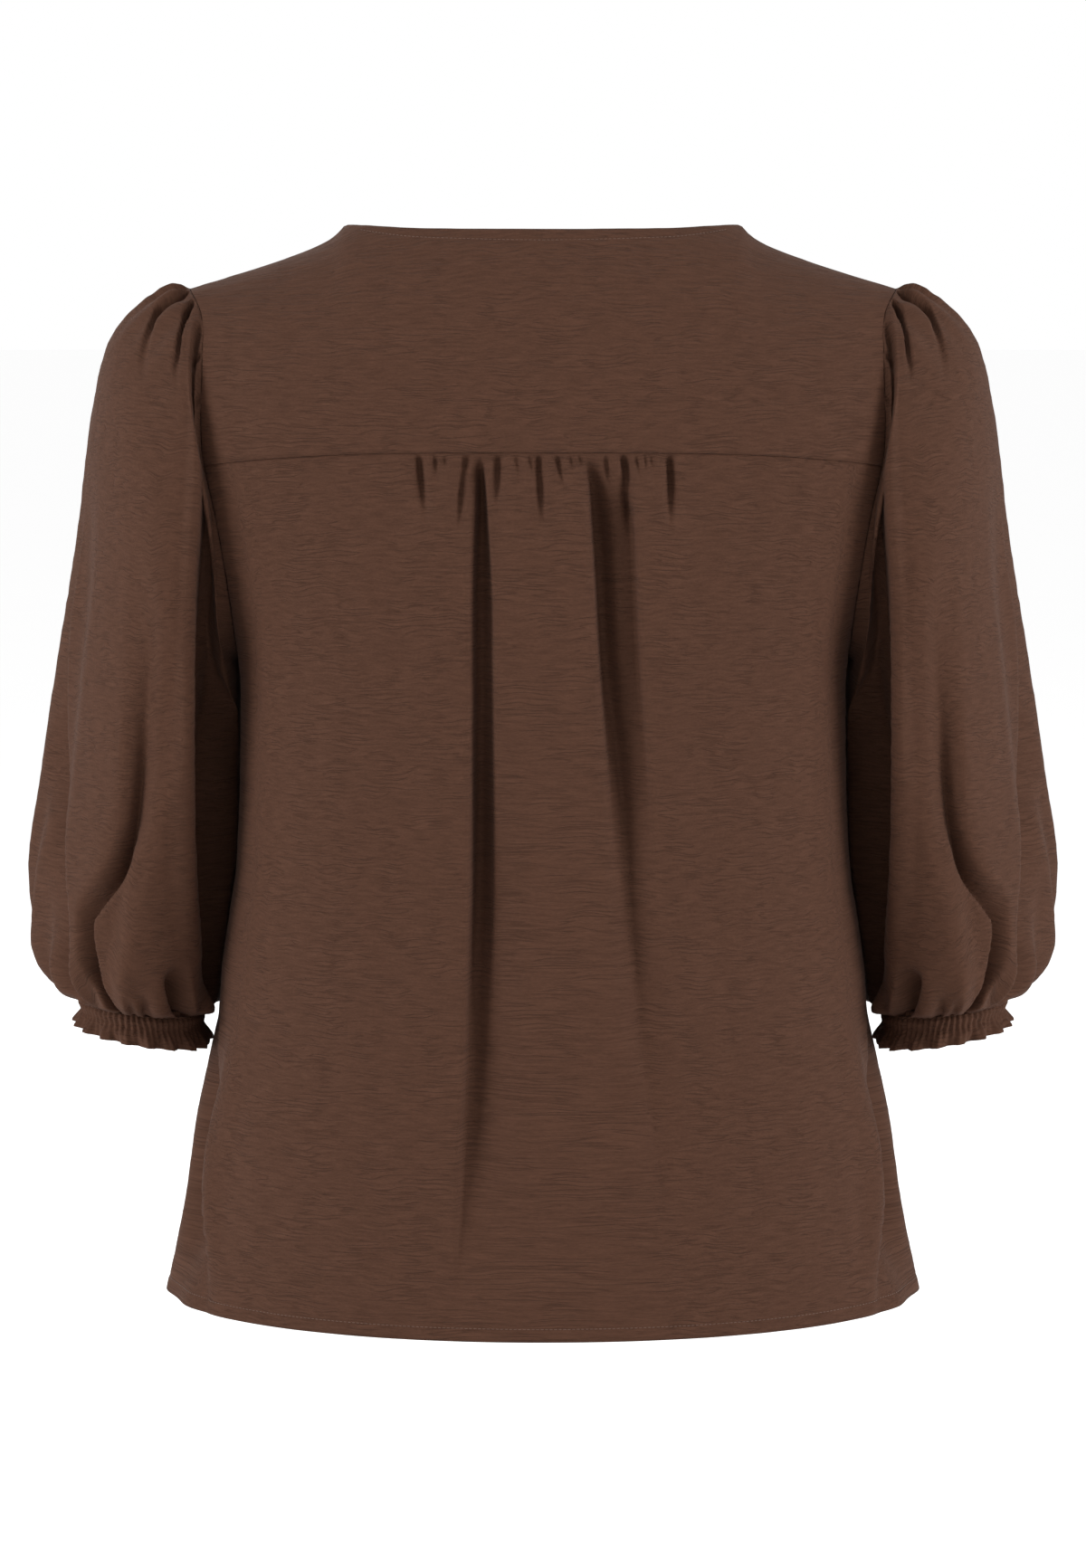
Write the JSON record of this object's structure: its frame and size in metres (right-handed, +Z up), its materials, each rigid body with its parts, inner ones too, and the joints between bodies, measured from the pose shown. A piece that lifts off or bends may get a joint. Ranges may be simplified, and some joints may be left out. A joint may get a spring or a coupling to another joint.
{
  "type": "button-up blouse",
  "caption": "Hollow button-up blouse filled out as if worn: V neck, buttoned front bands, shoulder yoke, gathered back, puffed sleeves, frilled elastic cuffs.",
  "frame": {"origin": "middle of the neck opening, level with the neck points of the shoulders, where the wearer's shoulders hold the blouse up", "axes": "+Z up, +X towards the wearer's left, +Y out of the wearer's back, so the buttoned front faces -Y"},
  "size_m": [0.5806, 0.2785, 0.5933],
  "materials": {
    "crepe_cloth": "matt crinkled crepe",
    "buttons": "satin"
  },
  "bodies": {
    "root": {"back_yoke": "crepe_cloth", "back_body": "crepe_cloth", "front_left": "crepe_cloth", "front_right": "crepe_cloth", "button_band": "crepe_cloth", "buttonhole_band": "crepe_cloth", "sleeve_left": "crepe_cloth", "sleeve_right": "crepe_cloth", "cuff_left": "crepe_cloth", "cuff_right": "crepe_cloth", "button_1": "buttons", "button_2": "buttons", "button_3": "buttons", "button_4": "buttons", "button_5": "buttons", "button_6": "buttons"}
  },
  "joints": []
}
